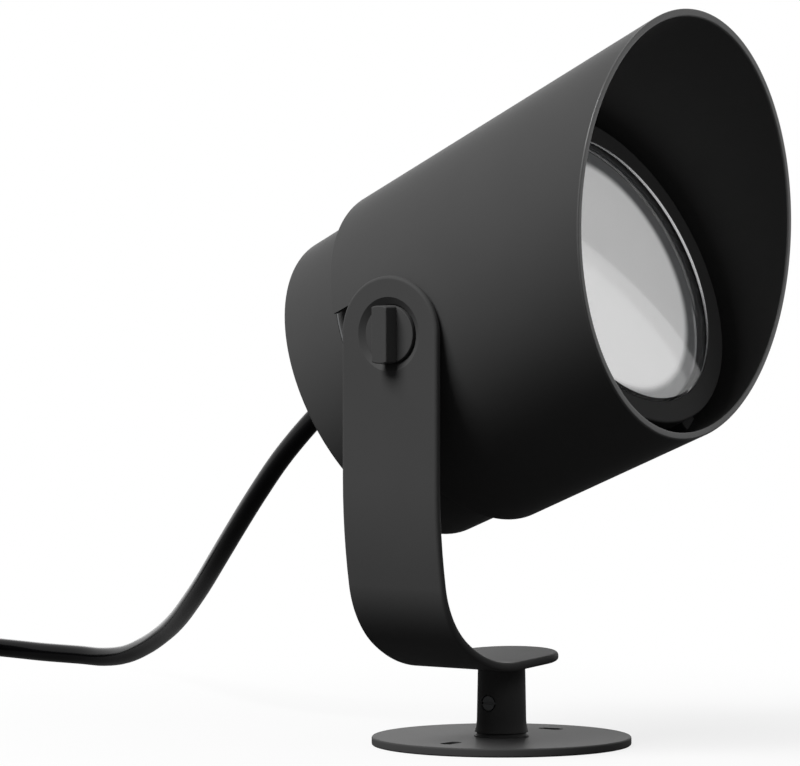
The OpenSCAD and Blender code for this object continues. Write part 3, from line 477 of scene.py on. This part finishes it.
blank = turned(bmesh.new(), [(0, 0), (0, BASE_R), (BASE_T, BASE_R), (BASE_T, 0)],
               closed=False, steps=192, place=UPRIGHT)
eased(blank, 0.6)
countersink = turned(bmesh.new(), [(-1, 0), (-1, 5.1), (0.25, 5.1), (2.75, 2.6), (4, 2.6), (4, 0)],
                     closed=False, steps=64, place=UPRIGHT)
plate = cut(blank, countersink,
            slot_tool(Matrix.Translation((0, SLOT_AT * MM, 0))),
            slot_tool(Matrix.Translation((0, -SLOT_AT * MM, 0)) @ Matrix.Rotation(
                math.pi / 2, 4, "Z")))
finished(plate, "foot_disc", coat, "powder_coat", "base", "base_plate")

# %% [markdown]
# ## Arm
# The arm is a strap of flat bar, cut with round ends, bent over three radii to a J, and welded on
# a short column. The same order works here: a flat blank is filled, extruded and eased, cut
# across wherever it will bend, and then every point is moved from its place along the flat blank
# to its place along the bent one. A curve with a bevel would be quicker, but its section would be
# pinched at the round ends.

# %% Bends of the strap
STRAP_R, STRAP_T = 19.7, 3
STRAP_OUT = 65.7
# Each run of the strap: its length, and the degrees by which it bends inward.
STRAP_RUNS = ((49.29, 0), (36.48, 11), (25.13, 45), (34.22, 37), (16.30, 0))
STRAP_LENGTH = sum(length for length, turn in STRAP_RUNS)


def along_strap(s):
    """Outward distance, height and lean of the strap's middle, s below the tilt axis."""
    y, z, lean = -STRAP_OUT, PIVOT.z / MM, 0
    for i, (length, turn) in enumerate(STRAP_RUNS):
        step = s if i == len(STRAP_RUNS) - 1 else min(s, length)
        if turn:
            radius = length / math.radians(turn)
            after = lean + step / radius
            y += radius * (math.cos(lean) - math.cos(after))
            z -= radius * (math.sin(after) - math.sin(lean))
            lean = after
        else:
            y += step * math.sin(lean)
            z -= step * math.cos(lean)
        s -= step
        if s <= 0:
            break
    return y, z, lean


print("strap ends at", [round(v, 2) for v in along_strap(STRAP_LENGTH)])

# %% Strap
strap = bmesh.new()
bmesh.ops.create_circle(strap, cap_ends=True, segments=128, radius=STRAP_R * MM)
for v in strap.verts:
    v.co.x += STRAP_LENGTH * MM if v.co.x > 0 else 0
    v.co.z = -STRAP_T / 2 * MM
drawn_out(strap, (0, 0, STRAP_T))
eased(strap, 1.2, segments=5)
stations, s = [0, STRAP_LENGTH], 0
for length, turn in STRAP_RUNS:
    cuts = max(1, round(turn / 2))
    stations += [s + length * i / cuts for i in range(cuts + 1)]
    s += length
for s in sorted(set(stations)):
    bmesh.ops.bisect_plane(strap, geom=everything(strap),
                           dist=1e-7, plane_co=(s * MM, 0, 0), plane_no=(1, 0, 0))
for v in strap.verts:
    y, z, lean = along_strap(v.co.x / MM)
    out = v.co.z / MM
    v.co = Vector((v.co.y / MM, y - out * math.cos(lean), z - out * math.sin(lean))) * MM
bmesh.ops.recalc_face_normals(strap, faces=strap.faces)

# %% [markdown]
# The dish in the strap's round head is turned, so the tool that cuts it is turned too. A cup
# welded behind the head closes the dish and carries the knob's thrust, and the column under the
# foot turns on the swivel post. Both are added to the same mesh, as they are in the welded arm.

# %% Dish, cup and column
dish = turned(bmesh.new(), [(63.5, 0), (63.5, 10.1), (65.5, 10.1), (67.2, 12.6), (68.2, 14.07),
                            (68.2, 0)], closed=False, steps=128, place=SIDEWAYS)
arm = cut(strap, dish)
cup = turned(bmesh.new(), [(62.2, 3.2), (62.2, 13), (64.3, 13), (64.3, 3.2)], steps=128)
eased(cup, 0.5, where=lambda p: p.x < 63)
# The column's lower edge flares and hangs over the post's collar as a thin skirt.
column = turned(bmesh.new(), [
    (26.1, 0), (26.1, 6.05), (5.05, 6.05), (5.05, 8.4), (4.5, 8.4), (4.5, 9.35), (5.2, 9.1),
    (6.4, 8.8), (8.5, 8.56), (28.8, 8.18), (28.8, 10.4), (30.2, 10.4), (30.2, 0)],
    closed=False, steps=128)
eased(column, 2.0, segments=6, where=lambda p: 27 < p.x < 29 and p.yz.length < 9)
eased(column, 0.15, where=lambda p: p.x < 4.6 and p.yz.length > 9)
# The bore widens outwards, which leaves the dark gap round the set screw.
SET_SCREW_Z = 14.9
screw_hole = turned(
    bmesh.new(), [(5, 0), (5, 2.55), (7.0, 2.55), (7.0, 2.95), (12, 2.95), (12, 0)],
    closed=False, steps=48, place=Matrix.Translation((0, 0, SET_SCREW_Z * MM)) @ Matrix.Rotation(
        -math.pi / 2, 4, "Z"))
bmesh.ops.transform(column, matrix=UPRIGHT, verts=column.verts)
bmesh.ops.transform(cup, matrix=SIDEWAYS, verts=cup.verts)
finished(joined(arm, cup, cut(column, screw_hole)), "bent_strap_arm", coat, "powder_coat",
         "arm", "arm", crisp=22)

# %% [markdown]
# ## Tilt knob
# A low disc sits in the dish with a grip bar across it, like the head of a thumb screw. The bar is
# a slice of the same circle, so it is cut from one and drawn out.

# %% Knob
KNOB_R, GRIP_HALF, GRIP_OUT = 9.8, 3.1, 7
knob = turned(bmesh.new(), [(65.05, 0), (65.05, KNOB_R), (67.0, KNOB_R), (67.0, 0)], closed=False)
eased(knob, 0.35)
grip = bmesh.new()
bmesh.ops.create_circle(grip, cap_ends=True, segments=72, radius=KNOB_R * MM)
for side in (-1, 1):
    bmesh.ops.bisect_plane(grip, geom=everything(grip), dist=1e-7,
                           plane_co=(0, side * GRIP_HALF * MM, 0), plane_no=(0, side, 0),
                           clear_outer=True)
bmesh.ops.remove_doubles(grip, verts=grip.verts, dist=0.5 * MM)
bmesh.ops.transform(grip, matrix=Matrix.Translation((66 * MM, 0, 0)) @ Matrix.Rotation(
    math.pi / 2, 4, "Y"), verts=grip.verts)
drawn_out(grip, (GRIP_OUT, 0, 0))
eased(grip, 0.45)
finished(joined(knob, grip), "thumb_knob", coat, "powder_coat", "knob", "tilt_knob",
         place=SIDEWAYS)

# %% [markdown]
# ## Shroud
# The glare guard is a thin cone, drawn wide enough to clear the housing, with its front cut on a
# slant so that the upper side reaches further. Spinning only its wall and cutting both skins with
# one plane gives the slanted rim; bridging the two cut loops closes it. Three ribs hold the guard
# off the housing, and a notch lets the boss of the tilt axis through.

# %% Shroud wall and rim
SHROUD_BACK, SHROUD_WALL = 23.3, 2.4
SHROUD_R, SHROUD_FLARE = 62.2, 0.0381395
RIM_AHEAD, RIM_SLANT, RIM_EASE = 84.2, math.radians(24.8), 0.55
NOTCH_R = 17.5
RIB_ANGLES, RIB_AT, RIB_LOW = (29, 151, 270), 36, 57.6


def shroud_r(t):
    """Outer radius of the cone, t ahead of the tilt axis."""
    return SHROUD_R + (t + SHROUD_BACK) * SHROUD_FLARE


far = RIM_AHEAD + 60
shroud = turned(bmesh.new(), [
    (far, shroud_r(far) - SHROUD_WALL), (-SHROUD_BACK, shroud_r(-SHROUD_BACK) - SHROUD_WALL),
    (-SHROUD_BACK, shroud_r(-SHROUD_BACK)), (far, shroud_r(far))], steps=224)
rim_point = Vector((RIM_AHEAD * MM, 0, 0))
rim_facing = Vector((math.cos(RIM_SLANT), 0, -math.sin(RIM_SLANT)))
slant = bmesh.ops.bisect_plane(shroud, geom=everything(shroud), dist=1e-7, plane_co=rim_point,
                               plane_no=rim_facing, clear_outer=True)
rim = [e for e in slant["geom_cut"] if isinstance(e, bmesh.types.BMEdge)]
bmesh.ops.bridge_loops(shroud, edges=rim)
bmesh.ops.recalc_face_normals(shroud, faces=shroud.faces)
eased(shroud, RIM_EASE, sharper=45, segments=4)

# %% Notch and countersinks
notch = turned(bmesh.new(), [(40, 0), (40, NOTCH_R), (80, NOTCH_R), (80, 0)], closed=False,
               steps=128, place=Matrix.Rotation(-math.pi / 2, 4, "Z"))
# A block behind the round tool carries the notch out through the shroud's back edge. It is a
# hair narrower, so that no two faces coincide.
mouth = bmesh.new()
bmesh.ops.create_cube(mouth, size=MM)
bmesh.ops.scale(mouth, vec=(40, 40, 2 * NOTCH_R - 0.002), verts=mouth.verts)
bmesh.ops.translate(mouth, vec=(-20 * MM, -60 * MM, 0), verts=mouth.verts)
tools = [notch, mouth]
for angle in RIB_ANGLES[:2]:
    top = shroud_r(RIB_AT)
    tools.append(turned(bmesh.new(), [
        (50, 0), (50, 1.6), (top - 1.5, 1.6), (top - 0.2, 2.85), (top + 2, 2.85), (top + 2, 0)],
        closed=False, steps=48, place=round_beam(angle) @ Matrix.Translation(
            (RIB_AT * MM, 0, 0)) @ UPRIGHT))
shroud = cut(shroud, *tools)

# %% Ribs of the shroud
for angle in RIB_ANGLES:
    rib = bmesh.new()
    bmesh.ops.create_cube(rib, size=MM)
    low, high = RIB_LOW, shroud_r(RIB_AT) - SHROUD_WALL / 2
    bmesh.ops.scale(rib, vec=(6, 8, high - low), verts=rib.verts)
    bmesh.ops.translate(rib, vec=(RIB_AT * MM, 0, (low + high) / 2 * MM), verts=rib.verts)
    eased(rib, 0.4)
    bmesh.ops.transform(rib, matrix=round_beam(angle), verts=rib.verts)
    joined(shroud, rib)

# %% [markdown]
# The faces within the rounding of the rim take the rim's own, shinier finish, whose lighter tone
# is a painted highlight along the rim. It is a second material on the same mesh, chosen face by
# face by how far each lies behind the plane of the rim, because a painted mask would need a UV map
# for one thin line.

# %% Finish of the shroud
for face in shroud.faces:
    depth = (rim_point - face.calc_center_median()).dot(rim_facing)
    # Faces within the rim's rounding take the second material, the one with the painted highlight.
    face.material_index = int(depth < (RIM_EASE + 0.01) * MM)
guard = finished(shroud, "glare_guard", coat, "powder_coat", "head", "shroud", place=HEAD)
guard.data.materials.append(rim_coat_painted_highlight)

# %% [markdown]
# ## Front of the lamp
# A ring is pressed over the housing's mouth and holds the glass, which stands a little proud of
# it. The glass has a polished, chamfered edge that catches the light as one thin bright line, and
# an opal sheet right behind it spreads the light of the chips.

# %% Bezel
bezel = turned(bmesh.new(), [
    (48.5, 49.9), (51.3, 49.9), (51.3, 57.5), (45.35, 57.5), (45.35, 54.45), (43.25, 54.45),
    (43.25, 52.6), (48.5, 52.6)], steps=224)
eased(bezel, 0.7, where=lambda p: p.x > 51 and p.yz.length > 57, segments=4)
eased(bezel, 0.3, where=lambda p: p.x > 51 and p.yz.length < 50.5)
finished(bezel, "front_ring", coat, "powder_coat", "head", "bezel_ring", place=HEAD)

# %% [markdown]
# Some finishes look one way to the camera and another to the light that bounces off them. A Light
# Path node tells which kind of ray is asking, and this joins a few of its answers into one, by
# which one shader is then mixed with another.

# %% Telling rays apart
def either_ray(tree, *kinds):
    """1 for rays of these kinds, else 0."""
    rays = add_node(tree, "ShaderNodeLightPath")
    found = rays.outputs[kinds[0]]
    for kind in kinds[1:]:
        found = add_node(tree, "ShaderNodeMath", {0: found, 1: rays.outputs[kind]},
                         operation="MAXIMUM").outputs["Value"]
    return found


# %% [markdown]
# The glass is toughened, polished and clear, and its edge is chamfered. Real glass would hold the
# light back from what is behind it and leave the renderer to find every path through it, so it
# lets shadow and diffuse rays pass, and only what the camera and reflections see goes through the
# true glass.

# %% Lens
lens_finish, tree, place = new_finish("toughened_glass")
film = add_node(tree, "ShaderNodeTexNoise", {"Vector": place, "Scale": per_mm(25), "Detail": 2})
haze = add_node(tree, "ShaderNodeMapRange", {"Value": film.outputs["Fac"], "To Min": 0.05,
                                             "To Max": 0.07})
glass = add_node(tree, "ShaderNodeBsdfPrincipled", {
    "Base Color": linear("#fcfcfc"), "Roughness": haze.outputs["Result"], "IOR": 1.5,
    "Transmission Weight": 1.0})
clear = add_node(tree, "ShaderNodeBsdfTransparent", {"Color": linear("#fcfcfc")})
pane = add_node(tree, "ShaderNodeMixShader", {
    0: either_ray(tree, "Is Shadow Ray", "Is Diffuse Ray"), 1: glass.outputs["BSDF"],
    2: clear.outputs["BSDF"]})
close_finish(tree, pane.outputs["Shader"])

lens = turned(bmesh.new(), [
    (44.55, 0), (44.55, 52.4), (48.45, 52.4), (48.45, 49.6), (52.0, 49.6), (52.0, 0)],
    closed=False, steps=224)
eased(lens, 0.8, segments=1, where=lambda p: p.x > 51)
finished(lens, "front_glass", lens_finish, "lens_glass", "head", "lens_glass", place=HEAD)

# %% [markdown]
# The opal sheet is its own milky white, with a grey band of painted shade round it where the
# housing's rim lies behind it, and the whole sheet glows a little: a painted glow in place of
# light falling on it from ahead. The band is drawn by distance from the beam's axis: a Mapping
# node first turns the pattern to the head's frame.

# %% Diffuser
opal, tree, place = new_finish("opal_acrylic_painted_glow_and_shade")
framed = add_node(tree, "ShaderNodeMapping", {"Vector": place, "Location": PIVOT,
                                              "Rotation": (0, -TILT, 0)}, vector_type="TEXTURE")
flat = add_node(tree, "ShaderNodeVectorMath", {0: framed.outputs["Vector"], 1: (0, 1, 1)},
                operation="MULTIPLY")
reach = add_node(tree, "ShaderNodeVectorMath", {0: flat.outputs["Vector"]}, operation="LENGTH")
# The grey band is painted shade, beyond the radius where the housing's rim lies behind the sheet.
painted_shade_band = add_node(tree, "ShaderNodeMapRange", {
    "Value": reach.outputs["Value"], "From Min": 41.3 * MM, "From Max": 45 * MM},
    interpolation_type="SMOOTHSTEP")
clouds = add_node(tree, "ShaderNodeTexNoise", {"Vector": place, "Scale": per_mm(12), "Detail": 3})
milk = add_node(tree, "ShaderNodeMix", {"Factor": clouds.outputs["Fac"], "A": linear("#e9e9e9"),
                                        "B": linear("#f1f1f1")}, data_type="RGBA")
painted_glow_and_shade_tone = add_node(tree, "ShaderNodeMix", {
    "Factor": painted_shade_band.outputs["Result"], "A": milk.outputs["Result"], "B": linear("#545556")},
    data_type="RGBA")
# The emission is a painted glow: the sheet lights itself in its own tones, in place of light
# falling on it.
sheet = add_node(tree, "ShaderNodeBsdfPrincipled", {
    "Base Color": painted_glow_and_shade_tone.outputs["Result"], "Roughness": 0.55,
    "Emission Color": painted_glow_and_shade_tone.outputs["Result"], "Emission Strength": 0.46})
close_finish(tree, sheet.outputs["BSDF"])

# %% [markdown]
# ## Strain relief and connector
# The moulded sleeve behind the gland narrows to the cord, and grooves round its cone let it bend
# in a wide curve. The grooves are steps in the outline that is spun, so they need no boolean.

# %% Strain relief
RELIEF_START, RELIEF_END = 62.5, 74
RELIEF_R, RELIEF_TAPER = 7.4, 2.9 / 11.5
relief_outline = [(-53.45, 7.05), (-53.45, 9.2), (-60.5, 9.2), (-RELIEF_START, RELIEF_R)]
for groove in range(4):
    for step, depth in ((0, 0), (0.2, 0.6), (1.1, 0.6), (1.3, 0)):
        along = 1.2 + 2.5 * groove + step
        relief_outline.append((-RELIEF_START - along, RELIEF_R - RELIEF_TAPER * along - depth))
relief_outline += [(-RELIEF_END, 4.5), (-RELIEF_END, 3.65), (-RELIEF_START, 3.65),
                   (-RELIEF_START, 7.05)]
relief = turned(bmesh.new(), relief_outline, steps=96)
eased(relief, 0.5, where=lambda p: p.x > -61.5 and p.yz.length > 9)
finished(relief, "flexible_sleeve", moulded_rubber, "moulded_rubber", "head", "strain_relief",
         place=HEAD @ Matrix.Translation((0, 0, GLAND_UP * MM)))

# %% Boot of the connector
boot_outline = [(0, 0), (0, 4.5)]
for groove in range(3):
    for step, depth in ((0, 0), (0.3, 0.6), (1.5, 0.6), (1.8, 0)):
        along = 2.5 + 4 * groove + step
        boot_outline.append((along, 4.5 + 2 / 17 * along - depth))
boot = turned(bmesh.new(), boot_outline + [(17, 6.5), (20, 6.5), (20, 0)], closed=False, steps=96)
eased(boot, 0.4, where=lambda p: p.x < 0.1 or p.x > 19.9)
finished(boot, "connector_sleeve", moulded_rubber, "moulded_rubber", "arm", "connector_boot",
         place=CONNECTOR)

# %% [markdown]
# ## Finishes of the other pieces
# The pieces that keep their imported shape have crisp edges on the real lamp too, or are hidden in
# it. Each takes the finish of its slot, so that a table is all that they need.

# %% Slot finishes
slot_finishes = {
    "powder_coat": coat, "steel": steel, "dark_steel": dark_steel, "brass": brass,
    "friction_pad": friction, "washer_plastic": acetal, "seal_rubber": seal_rubber,
    "cord_jacket": jacket, "moulded_rubber": moulded_rubber, "lens_glass": lens_finish,
    "opal": opal, "reflector_white": reflector_white, "board_white": solder_white,
    "light_chip": phosphor, "board_green": solder_green, "component": component,
    "terminal_plastic": terminal, "wire_insulation": wire_sleeve, "black_plastic": nylon,
    "tie_plastic": woven_strap}
slot_of = {row["node"]: row["material_slot"] for row in frame["record"]["subparts"]}
for name, node in frame["nodes"].items():
    if not node.hide_render:
        node.data.materials.clear()
        node.data.materials.append(slot_finishes[slot_of[name]])
print("kept nodes:", sum(not node.hide_render for node in frame["nodes"].values()))

# %% [markdown]

# %% [markdown]
# ## Floor and light
# The lamp stands on a plain pale floor that fades into a white background. White is given to the
# camera, to reflections and to what the glass lets through, while the light itself stays low.

# %% Floor
floor_finish, tree, place = new_finish("studio_paper")
outward = add_node(tree, "ShaderNodeVectorMath", {0: place}, operation="LENGTH").outputs["Value"]
looked_at = either_ray(tree, "Is Camera Ray", "Is Transmission Ray")
# The paper turns white between two distances from the foot, in metres. To the eye it is nearly
# white from the start; reflections see it dark near the lamp, whose lower sides mirror it.
seen_fade = add_node(tree, "ShaderNodeMapRange", {
    "Value": outward, "From Min": 0.03, "From Max": 0.35, "To Min": 0.8},
    interpolation_type="SMOOTHSTEP")
white_seen = add_node(tree, "ShaderNodeMath", {
    0: looked_at, 1: seen_fade.outputs["Result"]}, operation="MULTIPLY")
mirror_fade = add_node(tree, "ShaderNodeMapRange", {
    "Value": outward, "From Min": 0.1, "From Max": 1.2}, interpolation_type="SMOOTHSTEP")
white_mirrored = add_node(tree, "ShaderNodeMath", {
    0: either_ray(tree, "Is Glossy Ray"), 1: mirror_fade.outputs["Result"]},
    operation="MULTIPLY")
share = add_node(tree, "ShaderNodeMath", {0: white_seen.outputs["Value"],
                                          1: white_mirrored.outputs["Value"]},
                 operation="MAXIMUM")
tone = add_node(tree, "ShaderNodeMix", {"Factor": looked_at, "A": linear("#3c3c3c"),
                                        "B": linear("#f4f4f4")}, data_type="RGBA")
paper = add_node(tree, "ShaderNodeBsdfPrincipled", {"Base Color": tone.outputs["Result"],
                                                   "Roughness": 0.9})
white = add_node(tree, "ShaderNodeEmission", {"Color": (1, 1, 1, 1), "Strength": 1})
mix = add_node(tree, "ShaderNodeMixShader", {
    0: share.outputs["Value"], 1: paper.outputs["BSDF"], 2: white.outputs["Emission"]})
close_finish(tree, mix.outputs["Shader"])
floor_mesh = bmesh.new()
bmesh.ops.create_circle(floor_mesh, cap_ends=True, segments=96, radius=6)
floor = as_object(floor_mesh, "floor")
floor.data.materials.append(floor_finish)

# %% World
world = bpy.data.worlds.new("studio")
bpy.context.scene.world = world
world.use_nodes = True
tree = world.node_tree
tree.nodes.clear()
seen = either_ray(tree, "Is Camera Ray", "Is Glossy Ray", "Is Transmission Ray")
dim = add_node(tree, "ShaderNodeBackground", {"Color": (1, 1, 1, 1), "Strength": 0.03})
bright = add_node(tree, "ShaderNodeBackground", {"Color": (1, 1, 1, 1), "Strength": 1})
mix = add_node(tree, "ShaderNodeMixShader", {
    0: seen, 1: dim.outputs["Background"], 2: bright.outputs["Background"]})
add_node(tree, "ShaderNodeOutputWorld", {"Surface": mix.outputs["Shader"]})

# %% [markdown]
# One large soft box stands high on the left and gives nearly all the light, so that what faces
# right or down falls into shade. A weak one ahead of the lamp lights its glass, a wide one behind
# it on the right lights the foot and is mirrored in the glass, and the last shows the back.

# %% Lamps
LAMP_AIM = Vector((0, 0, 0.12))
# Turn and rise are in degrees, distance and size in metres, and power in watts.
for name, turn, rise, distance, size, power in (
        ("key", -17, 49, 1.9, 0.9, 40), ("ahead", 84, 28, 1.2, 0.4, 1.4),
        ("behind", 160, 21, 1.4, 1.4, 1.8), ("back", -145, 8, 1.5, 0.8, 1.6)):
    turn, rise = math.radians(turn), math.radians(rise)
    place = LAMP_AIM + distance * Vector((
        math.sin(turn) * math.cos(rise), -math.cos(turn) * math.cos(rise), math.sin(rise)))
    lamp = bpy.data.objects.new(name, bpy.data.lights.new(name, "AREA"))
    lamp.data.size = size
    lamp.data.energy = power
    lamp.matrix_world = Matrix.Translation(place) @ (
        place - LAMP_AIM).to_track_quat("Z", "Y").to_matrix().to_4x4()
    bpy.context.collection.objects.link(lamp)
bpy.context.scene.view_settings.view_transform = "Standard"
